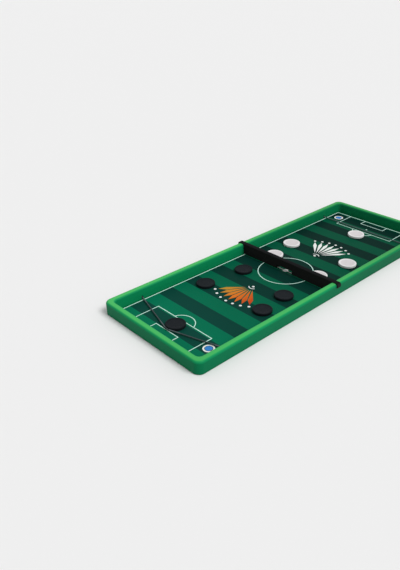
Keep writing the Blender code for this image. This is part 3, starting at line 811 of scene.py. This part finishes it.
LINE_WIDTH = 1.6 * MM
FINE_LINE_WIDTH = 1.3 * MM
PENALTY_HALF_WIDTH = 58.9 * MM
PENALTY_FRONT_Y = 222.6 * MM
GOAL_BOX_HALF_WIDTH = 24.3 * MM
GOAL_BOX_FRONT_Y = 253.9 * MM
CIRCLE_RADIUS = 44.7 * MM
CIRCLE_STRETCH = 1.06
SPOT_RADIUS = 4.6 * MM
SPOT_REACH_SHARE = 0.98
PENALTY_SPOT_RADIUS = 1.6 * MM
PENALTY_SPOT_Y = 237.0 * MM
D_HALF_CHORD = 20.7 * MM
D_RISE = 15.0 * MM
INK_THICKNESS = 0.06 * MM
INK_SINK = 0.02 * MM
LEAST_MITRE_SHARE = 0.3
DISC_STEPS = 48
SMALL_DISC_STEPS = 24
HALF_CIRCLE_STEPS = 60
SMALL_RING_STEPS = 24
D_STEPS = 40


def ink(name, material):
    """Starts a printed layer: a bmesh for its flat shapes."""
    return {"name": name, "material": material, "shape": bmesh.new()}


def finish_ink(layer):
    thing = mesh_object(layer["name"], layer["shape"])
    finish_piece(thing, layer["material"], "printed_sheet")
    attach(thing, "frame")


def print_outline(layer, outline):
    """Adds a closed flat shape to a layer, as a thin plate on the sheet."""
    plate = prism(outline, INK_THICKNESS + INK_SINK)
    height = PITCH_Z + (INK_THICKNESS - INK_SINK) / 2
    bmesh.ops.transform(plate, matrix=Matrix.Translation((0, 0, height)), verts=plate.verts)
    merge_shape(layer["shape"], plate)


def print_stroke(layer, points, width=LINE_WIDTH):
    """Adds an open stroke of even width, with mitred turns."""
    path = [Vector(point) for point in points]
    left = []
    right = []
    for i, point in enumerate(path):
        before = (point - path[i - 1]).normalized() if i else (path[1] - point).normalized()
        after = (path[i + 1] - point).normalized() if i + 1 < len(path) else before
        across = (before + after).normalized().orthogonal()
        reach = width / 2 / max(LEAST_MITRE_SHARE, across.dot(after.orthogonal()))
        left.append(tuple(point + across * reach))
        right.append(tuple(point - across * reach))
    print_outline(layer, left + right[::-1])


def print_rectangle(layer, half_x, half_y):
    """Adds a closed rectangular line, as four strokes that meet end to end."""
    inset = LINE_WIDTH / 2
    for side in (-1, 1):
        print_stroke(layer, [(side * half_x, -half_y - inset), (side * half_x, half_y + inset)])
        print_stroke(layer, [(-half_x + inset, side * half_y), (half_x - inset, side * half_y)])


def print_ring(layer, centre, radius, start, end, steps, width=LINE_WIDTH, stretch=1.0):
    """Adds part of a ring, stretched along the pitch about its centre if asked."""
    outer = arc(centre, radius + width / 2, start, end, steps)
    inner = arc(centre, radius - width / 2, start, end, steps)
    print_outline(layer, [(x, centre[1] + stretch * (y - centre[1])) for x, y in outer + inner[::-1]])


def print_circle(layer, centre, radius, steps, width, stretch=1.0):
    """Adds a whole ring, as two halves that meet end to end."""
    for start in (0.0, HALF_TURN):
        print_ring(layer, centre, radius, start, start + HALF_TURN, steps, width, stretch)


def print_disc(layer, centre, radius, steps=DISC_STEPS):
    print_outline(layer, arc(centre, radius, 0.0, FULL_TURN, steps)[:-1])


def print_box(layer, end, half_x, front_y):
    """Adds the three sides of an area that the goal line closes."""
    goal_y = GOAL_LINE_Y - LINE_WIDTH / 2
    corners = [(-half_x, goal_y), (-half_x, front_y), (half_x, front_y), (half_x, goal_y)]
    print_stroke(layer, [(x, end * y) for x, y in corners], FINE_LINE_WIDTH)


def print_goal_end(layer, end):
    """Penalty area, goal area, arc and spot at one end."""
    print_box(layer, end, PENALTY_HALF_WIDTH, PENALTY_FRONT_Y)
    print_box(layer, end, GOAL_BOX_HALF_WIDTH, GOAL_BOX_FRONT_Y)
    radius = (D_HALF_CHORD**2 + D_RISE**2) / (2 * D_RISE)
    centre_y = PENALTY_FRONT_Y - D_RISE + radius
    half_angle = math.asin(D_HALF_CHORD / radius)
    start = -end * QUARTER_TURN - half_angle
    # Trimmed, so that the arc meets the area's front line and doesn't run over it
    trim = FINE_LINE_WIDTH / radius / 2 / math.tan(half_angle)
    turn = (start + trim, start + 2 * half_angle - trim)
    print_ring(layer, (0.0, end * centre_y), radius, *turn, D_STEPS, FINE_LINE_WIDTH)
    print_disc(layer, (0.0, end * PENALTY_SPOT_Y), PENALTY_SPOT_RADIUS)


def print_lines(white):
    """The pitch's lines; the centre mark that shows in the gate is in the whiter ink, and on the halfway
    line inside the circle that is painted light, to keep it bright in the divider's shade.
    """
    layer = ink("pitch_lines", printed_film("line ink", LINE_WHITE))
    print_rectangle(layer, TOUCHLINE_X, GOAL_LINE_Y)
    print_circle(layer, (0, 0), CIRCLE_RADIUS, HALF_CIRCLE_STEPS, FINE_LINE_WIDTH, CIRCLE_STRETCH)
    inset = LINE_WIDTH / 2
    fine_inset = FINE_LINE_WIDTH / 2
    for side in (-1, 1):
        print_stroke(layer, [(side * (TOUCHLINE_X - inset), 0), (side * (CIRCLE_RADIUS + fine_inset), 0)])
        spot_x = side * SPOT_RADIUS * SPOT_REACH_SHARE
        # Painted light: the halfway line inside the circle is in the whiter ink, to show bright in the
        # divider's shade
        print_stroke(white, [(side * (CIRCLE_RADIUS - fine_inset), 0), (spot_x, 0)])
        print_goal_end(layer, side)
    print_disc(white, (0, 0), SPOT_RADIUS)
    finish_ink(layer)


# Plain decoration: a fan of kites and dots in each half, and a ringed disc in two corners

FAN_Y = 78.0 * MM
FAN_COUNT = 7
FAN_STEP = math.radians(12.5)
KITE_NEAR = 12.0 * MM
KITE_FAR = 56.0 * MM
KITE_WAIST_SHARE = 0.7
KITE_WIDTH = 8.0 * MM
FAR_KITE_WIDTH = 0.8 * KITE_WIDTH
FAN_DOT_REACH = 61.0 * MM
FAN_DOT_RADIUS = 2.2 * MM
FAN_RING_RADIUS = 7.0 * MM
FAN_RING_HALF_ANGLE = HALF_TURN / 3
CORNER_DISC_PLACES = ((73.0 * MM, -241.0 * MM), (-73.0 * MM, 248.0 * MM))
CORNER_DISC_RADIUS = 5.2 * MM
CORNER_RING_RADIUS = 7.4 * MM
CORNER_RING_WIDTH = 2.4 * MM


def print_kite(layer, root, angle, near, far, width):
    """Adds a kite that points away from a root."""
    along = Vector((math.cos(angle), math.sin(angle)))
    across = along.orthogonal()
    waist = near + KITE_WAIST_SHARE * (far - near)
    places = ((near, 0.0), (waist, width / 2), (far, 0.0), (waist, -width / 2))
    print_outline(layer, [tuple(Vector(root) + reach * along + side * across) for reach, side in places])


def print_fan(kites, white, end, width):
    """A fan that opens towards its end, with a dot beyond each tip and a ringed dot at its root."""
    root = (0.0, end * FAN_Y)
    middle = end * QUARTER_TURN
    for i in range(FAN_COUNT):
        angle = middle + (i - (FAN_COUNT - 1) / 2) * FAN_STEP
        print_kite(kites, root, angle, KITE_NEAR, KITE_FAR, width)
        dot = (root[0] + FAN_DOT_REACH * math.cos(angle), root[1] + FAN_DOT_REACH * math.sin(angle))
        print_disc(white, dot, FAN_DOT_RADIUS, SMALL_DISC_STEPS)
    turn = (middle - FAN_RING_HALF_ANGLE, middle + FAN_RING_HALF_ANGLE)
    print_ring(white, root, FAN_RING_RADIUS, *turn, SMALL_RING_STEPS)
    print_disc(white, root, FAN_DOT_RADIUS, SMALL_DISC_STEPS)


def print_decoration(white):
    kites = ink("near_fan", fan_ink(KITE_FAR))
    print_fan(kites, white, -1, KITE_WIDTH)
    print_fan(white, white, 1, FAR_KITE_WIDTH)
    blue = ink("corner_discs", printed_film("blue ink", INK_BLUE))
    for place in CORNER_DISC_PLACES:
        print_disc(blue, place, CORNER_DISC_RADIUS)
        print_circle(white, place, CORNER_RING_RADIUS, SMALL_RING_STEPS, CORNER_RING_WIDTH)
    for layer in (kites, blue):
        finish_ink(layer)


def print_pitch():
    white = ink("white_print", printed_film("white ink", INK_WHITE))
    print_lines(white)
    print_decoration(white)
    finish_ink(white)


# Pucks

PUCK_THICKNESS = 4.2 * MM
PUCK_EDGE_RADIUS = 0.8 * MM
PUCK_EDGE_STEPS = 6
PUCK_STEPS = 72
PUCK_RING_WIDTH = 2.4 * MM
PUCK_RECESS_DEPTH = 0.45 * MM
PUCK_FOOT_WIDTH = 2.7 * MM
PUCK_CORE_DEPTH = 1.3 * MM
PUCK_CORE_DRAFT = 0.6 * MM

# The step from a puck's middle up to its ring: how far its bends lie from the ring's inner edge
STEP_FOOT = -0.85 * MM
STEP_LOW_BEND = -0.65 * MM
STEP_HIGH_BEND = -0.15 * MM
STEP_CREST = 0.1 * MM
STEP_BEND_RISE = 0.06 * MM


def puck_profile():
    """A low disc with a raised ring on top and a cored underside, from axis to axis."""
    ring = PUCK_RADIUS - PUCK_RING_WIDTH
    floor_z = PUCK_THICKNESS - PUCK_RECESS_DEPTH
    foot = PUCK_RADIUS - PUCK_FOOT_WIDTH
    edge_x = PUCK_RADIUS - PUCK_EDGE_RADIUS
    shoulder_centre = (edge_x, PUCK_THICKNESS - PUCK_EDGE_RADIUS)
    heel_centre = (edge_x, PUCK_EDGE_RADIUS)
    return [
        (0.0, floor_z),
        (ring / 2, floor_z),
        (ring + STEP_FOOT, floor_z),
        (ring + STEP_LOW_BEND, floor_z + STEP_BEND_RISE),
        (ring + STEP_HIGH_BEND, PUCK_THICKNESS - STEP_BEND_RISE),
        (ring + STEP_CREST, PUCK_THICKNESS),
        *arc(shoulder_centre, PUCK_EDGE_RADIUS, QUARTER_TURN, 0.0, PUCK_EDGE_STEPS),
        *arc(heel_centre, PUCK_EDGE_RADIUS, 0.0, -QUARTER_TURN, PUCK_EDGE_STEPS),
        (foot, 0.0),
        (foot - PUCK_CORE_DRAFT, PUCK_CORE_DEPTH),
        (0.0, PUCK_CORE_DEPTH),
    ]


def make_pucks():
    finishes = {
        "black": puck_plastic("black puck plastic", PUCK_BLACK, PUCK_BLACK_CENTRE, roughness=0.5),
        "white": puck_plastic("white puck plastic", PUCK_WHITE, PUCK_WHITE_CENTRE, roughness=0.38),
    }
    bodies = frame["record"]["behaviour"]["bodies"]
    places = [(node, body) for body, nodes in bodies.items() for node in nodes if "_puck_" in node]
    for node, body in places:
        low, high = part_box(node)
        colour = node.split("_")[0]
        puck = turned(node.replace("_puck", "_puck_shown"), puck_profile(), PUCK_STEPS)
        puck.location = ((low.x + high.x) / 2, (low.y + high.y) / 2, low.z)
        finish_piece(puck, finishes[colour], f"{colour}_puck", node)
        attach(puck, body)


# Divider

BAR_TOP_HALF_THICKNESS = 4.0 * MM
BAR_FOOT_HALF_THICKNESS = 4.7 * MM
GATE_HALF_WIDTH = 16.8 * MM
GATE_TOP_Z = 10.2 * MM
CLIP_WALL = 2.0 * MM
CLIP_DROP = 6.0 * MM
CLIP_TIP_STEPS = 12
SHOULDER_RADIUS = 3.2 * MM
SHOULDER_STEPS = 10
BAR_WALL = 1.4 * MM
POCKETS_PER_SIDE = 3
BAR_BEVEL = 0.5 * MM
BAR_BEVEL_STEPS = 3


def bar_end_x():
    return HALF_WIDTH - inner_face_inset(BAR_LOW.z) - SEAT_GAP


def half_bar_outline():
    """The divider's right half in (x, z), from the top of the gate round to the top of the bar."""
    over_rail = [(HALF_WIDTH - inset, z) for inset, z in rail_top_profile(SEAT_GAP)]
    tip_radius = CLIP_WALL / 2
    tip_centre = (HALF_WIDTH + SEAT_GAP + tip_radius, RIM_TOP_Z - CLIP_DROP + tip_radius)
    shoulder_centre = (BAR_HIGH.x - SHOULDER_RADIUS, BAR_HIGH.z - SHOULDER_RADIUS)
    return [
        (GATE_HALF_WIDTH, GATE_TOP_Z),
        (GATE_HALF_WIDTH, BAR_LOW.z),
        (bar_end_x(), BAR_LOW.z),
        *over_rail,
        *arc(tip_centre, tip_radius, HALF_TURN, FULL_TURN, CLIP_TIP_STEPS),
        *arc(shoulder_centre, SHOULDER_RADIUS, 0.0, QUARTER_TURN, SHOULDER_STEPS),
    ]


def bar_pockets():
    """The cored underside as one cutter: a pocket over the gate, and a row of them on each side."""
    thickness = BAR_HIGH.y - BAR_LOW.y - 2 * BAR_WALL
    high = BAR_HIGH.z - BAR_WALL
    low = BAR_LOW.z - CUT_OVERRUN
    start = GATE_HALF_WIDTH + BAR_WALL
    length = (bar_end_x() - start - POCKETS_PER_SIDE * BAR_WALL) / POCKETS_PER_SIDE
    boxes = [(BAR_WALL - GATE_HALF_WIDTH, GATE_HALF_WIDTH - BAR_WALL, GATE_TOP_Z - CUT_OVERRUN)]
    for i in range(POCKETS_PER_SIDE):
        near = start + i * (length + BAR_WALL)
        boxes += [(near, near + length, low), (-near - length, -near, low)]
    shape = bmesh.new()
    for low_x, high_x, low_z in boxes:
        size = (high_x - low_x, thickness, high - low_z, 1)
        place = Matrix.Translation(((low_x + high_x) / 2, 0, (low_z + high) / 2))
        bmesh.ops.create_cube(shape, size=1.0, matrix=place @ Matrix.Diagonal(size))
    return mesh_object("bar_pockets", shape)


def make_divider():
    """The bar with its gate and clips, thicker at the foot than at the top, and cored underneath."""
    right = half_bar_outline()
    left = [(-x, z) for x, z in reversed(right)]
    shape = prism(right + left, 2 * BAR_TOP_HALF_THICKNESS)
    bmesh.ops.transform(shape, matrix=Matrix.Rotation(QUARTER_TURN, 4, "X"), verts=shape.verts)
    for vert in shape.verts:
        share = (BAR_HIGH.z - vert.co.z) / (BAR_HIGH.z - BAR_LOW.z)
        vert.co.y *= 1 + share * (BAR_FOOT_HALF_THICKNESS / BAR_TOP_HALF_THICKNESS - 1)
    bar = mesh_object("divider", shape)
    bevel = bar.modifiers.new("Moulded edges", "BEVEL")
    bevel.width = BAR_BEVEL
    bevel.segments = BAR_BEVEL_STEPS
    bevel.limit_method = "ANGLE"
    bevel.angle_limit = SHARP_ANGLE
    apply_modifiers(bar)
    combine(bar, bar_pockets())
    smooth(bar)
    finish_piece(bar, bar_plastic(), "divider_plastic", "centre_divider")
    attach(bar, "divider")


# Slings

CORD_SIDES = 16
CORD_STEP = 1.5 * MM
KNOT_SWELL = 1.0 * MM
KNOT_STEPS = 10
WRAP_STEPS = 12
STRAIGHT_STEP = 1.0 * MM
STRAIGHT_HALF_STEPS = 5
BLEND_SHARES = (0.0, 0.2, 0.8, 1.0)


def tube(name, points, radii):
    """A closed round tube along level points, with a UV that runs along and round it in metres."""
    angles = [k * FULL_TURN / CORD_SIDES for k in range(CORD_SIDES)]
    rings = []
    for i, (point, radius) in enumerate(zip(points, radii)):
        ahead = points[min(i + 1, len(points) - 1)] - points[max(i - 1, 0)]
        side = Vector((-ahead.y, ahead.x, 0)).normalized()
        rings.append([point + radius * (side * math.cos(t) + Vector((0, 0, math.sin(t)))) for t in angles])
    shape = loft(rings, closed_rings=False, caps=True)
    layer = shape.loops.layers.uv.new("UVMap")
    run = [0.0]
    for first, second in zip(points, points[1:]):
        run.append(run[-1] + (second - first).length)
    shape.verts.ensure_lookup_table()
    girth = FULL_TURN * CORD_RADIUS
    for face in shape.faces:
        places = [divmod(loop.vert.index, CORD_SIDES) for loop in face.loops]
        turns = [turn for _, turn in places]
        wraps = max(turns) - min(turns) > CORD_SIDES / 2
        for loop, (row, turn) in zip(face.loops, places):
            # A face over the seam ends at the whole girth, not back at 0
            if wraps and turn == 0:
                turn = CORD_SIDES
            loop[layer].uv = (run[row], turn * girth / CORD_SIDES)
    thing = mesh_object(name, shape)
    smooth(thing)
    return thing


def even_points(first, last):
    """Points from first to last, a cord step or so apart."""
    count = max(1, round((last - first).length / CORD_STEP))
    return [first.lerp(last, i / count) for i in range(count + 1)]


def cord_knot(name, side, end, wall, material):
    """The cord's end behind the wall: through the bead, then the knot."""
    knot_start = BEAD_HIGH.x + SEAT_GAP
    knot_length = FAR_CORD_HIGH.x - knot_start
    xs = [wall.x, (wall.x + knot_start) / 2, knot_start]
    radii = [CORD_RADIUS] * len(xs)
    for i in range(1, KNOT_STEPS + 1):
        xs.append(knot_start + knot_length * i / KNOT_STEPS)
        radii.append(CORD_RADIUS + KNOT_SWELL * math.sin(i / KNOT_STEPS * HALF_TURN))
    points = [Vector((side * x, end * wall.y, CORD_Z)) for x in xs]
    piece = tube(name, points, radii)
    finish_piece(piece, material, "elastic_cord")
    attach(piece, "frame")


def cord_run(name, side, end, wall, leave, material):
    """One side of a sling, from the rail to its middle, in pieces."""
    for number, (near, far) in enumerate(zip(BLEND_SHARES, BLEND_SHARES[1:]), 1):
        ends = []
        for share in (near, far):
            place = wall.lerp(leave, share)
            ends.append(Vector((side * place.x, end * place.y, CORD_Z)))
        points = even_points(*ends)
        piece = tube(f"{name}_{number}", points, [CORD_RADIUS] * len(points))
        finish_piece(piece, material, "elastic_cord")
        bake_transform(piece)


def sling_middle(wall, draw):
    """The points of a sling's middle: round a puck that it is drawn back with, or straight."""
    if not draw:
        steps = range(-STRAIGHT_HALF_STEPS, STRAIGHT_HALF_STEPS + 1)
        return [Vector((i * STRAIGHT_STEP, SLING_Y)) for i in steps]
    wrap = PUCK_RADIUS + SEAT_GAP + CORD_RADIUS
    puck = Vector((0.0, SLING_Y + draw - wrap))
    out = wall - puck
    leaves = math.atan2(out.y, out.x) + math.acos(wrap / out.length)
    return [Vector(point) for point in arc(puck, wrap, HALF_TURN - leaves, leaves, WRAP_STEPS)]


def make_sling(reach, end, draw, body, material):
    """A cord from rail to rail, drawn back by a distance round a puck, or straight."""
    wall = Vector((HALF_WIDTH - inner_face_inset(CORD_Z), SLING_Y))
    middle = sling_middle(wall, draw)
    leave = middle[-1]
    points = [Vector((point.x, end * point.y, CORD_Z)) for point in middle]
    piece = tube(f"{reach}_sling_middle", points, [CORD_RADIUS] * len(points))
    finish_piece(piece, material, "elastic_cord", f"{reach}_cord")
    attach(piece, body)
    for side, hand in ((-1, "left"), (1, "right")):
        cord_run(f"{reach}_sling_{hand}", side, end, wall, leave, material)
        cord_knot(f"{reach}_sling_knot_{hand}", side, end, wall, material)


def make_slings():
    material = braided_cord()
    draw = -NEAR_CORD_LOW.y - CORD_RADIUS - SLING_Y
    make_sling("near", -1, draw, "near_sling", material)
    make_sling("far", 1, 0.0, "far_sling", material)


# Nodes that keep their own solids


def dress_kept_nodes():
    looks = {
        "play_board": hardboard(),
        "foot_pad": rubber(),
        "board_screw": plated_steel(),
        "cord_stopper": bead_plastic(),
    }
    for name, thing in frame["nodes"].items():
        for start, material in looks.items():
            if name.startswith(start):
                thing.data.materials.clear()
                thing.data.materials.append(material)


# Camera, floor and light

PHOTO_WIDTH = 400
PHOTO_HEIGHT = 570
FOCAL_LENGTH_PX = 563.98
OPTICAL_CENTRE_PX = (219.17, 282.54)
SENSOR_WIDTH = 36.0
CAMERA_YAW = math.radians(-46.9012)
CAMERA_PITCH = math.radians(29.3583)
CAMERA_ROLL = math.radians(0.626)
CAMERA_PLACE = (0.53114, -0.64934, 0.44996)
FLOOR_WHITE = (0.86, 0.86, 0.86)
FLOOR_REACH = 40.0
KEY_DIRECTION = (0.75, 0.2, 1.0)
KEY_SPREAD = math.radians(30)
KEY_STRENGTH = 2.0
SURROUND_STRENGTH = 0.5
BACKGROUND_STRENGTH = 0.9


def make_camera():
    """The photo's camera, fitted to points and edges of the pitch and the rim."""
    data = bpy.data.cameras.new("camera")
    data.sensor_width = SENSOR_WIDTH
    data.lens = SENSOR_WIDTH * FOCAL_LENGTH_PX / PHOTO_HEIGHT
    data.shift_x = (PHOTO_WIDTH / 2 - OPTICAL_CENTRE_PX[0]) / PHOTO_HEIGHT
    data.shift_y = (OPTICAL_CENTRE_PX[1] - PHOTO_HEIGHT / 2) / PHOTO_HEIGHT
    camera = bpy.data.objects.new("camera", data)
    bpy.context.scene.collection.objects.link(camera)
    level = math.cos(CAMERA_PITCH)
    forward = Vector((math.sin(CAMERA_YAW) * level, math.cos(CAMERA_YAW) * level, -math.sin(CAMERA_PITCH)))
    right = Vector((math.cos(CAMERA_YAW), -math.sin(CAMERA_YAW), 0))
    down = forward.cross(right)
    right, down = (
        right * math.cos(CAMERA_ROLL) + down * math.sin(CAMERA_ROLL),
        down * math.cos(CAMERA_ROLL) - right * math.sin(CAMERA_ROLL),
    )
    turn = Matrix((right, -down, -forward)).transposed()
    camera.matrix_world = Matrix.Translation(CAMERA_PLACE) @ turn.to_4x4()
    bpy.context.scene.camera = camera


def make_floor():
    shape = bmesh.new()
    bmesh.ops.create_grid(shape, x_segments=1, y_segments=1, size=FLOOR_REACH)
    floor = mesh_object("floor", shape)
    finish = Finish("floor", roughness=0.9, specular=0.2)
    finish.shader.inputs["Base Color"].default_value = (*FLOOR_WHITE, 1.0)
    floor.data.materials.append(finish.material)


def make_lamp():
    """One wide soft lamp from above and the right."""
    data = bpy.data.lights.new("key", "SUN")
    data.energy = KEY_STRENGTH
    data.angle = KEY_SPREAD
    key = bpy.data.objects.new("key", data)
    key.rotation_euler = (-Vector(KEY_DIRECTION)).to_track_quat("-Z", "Y").to_euler()
    bpy.context.scene.collection.objects.link(key)


def make_surround():
    """An even white surround, dimmer as a light than where it is seen or mirrored."""
    world = bpy.data.worlds.new("world")
    bpy.context.scene.world = world
    world.use_nodes = True
    nodes = world.node_tree.nodes
    links = world.node_tree.links
    background = nodes["Background"]
    background.inputs["Color"].default_value = (1, 1, 1, 1)
    rays = nodes.new("ShaderNodeLightPath")
    share = rays.outputs["Is Camera Ray"]
    for kind in ("Is Glossy Ray", "Is Transmission Ray"):
        either = nodes.new("ShaderNodeMath")
        either.operation = "MAXIMUM"
        links.new(share, either.inputs[0])
        links.new(rays.outputs[kind], either.inputs[1])
        share = either.outputs["Value"]
    strength = nodes.new("ShaderNodeMapRange")
    strength.inputs["To Min"].default_value = SURROUND_STRENGTH
    strength.inputs["To Max"].default_value = BACKGROUND_STRENGTH
    links.new(share, strength.inputs["Value"])
    links.new(strength.outputs["Result"], background.inputs["Strength"])


bpy.context.scene.view_settings.view_transform = "Standard"
make_camera()
make_rim()
make_pitch()
print_pitch()
make_pucks()
make_divider()
make_slings()
dress_kept_nodes()
make_floor()
make_lamp()
make_surround()
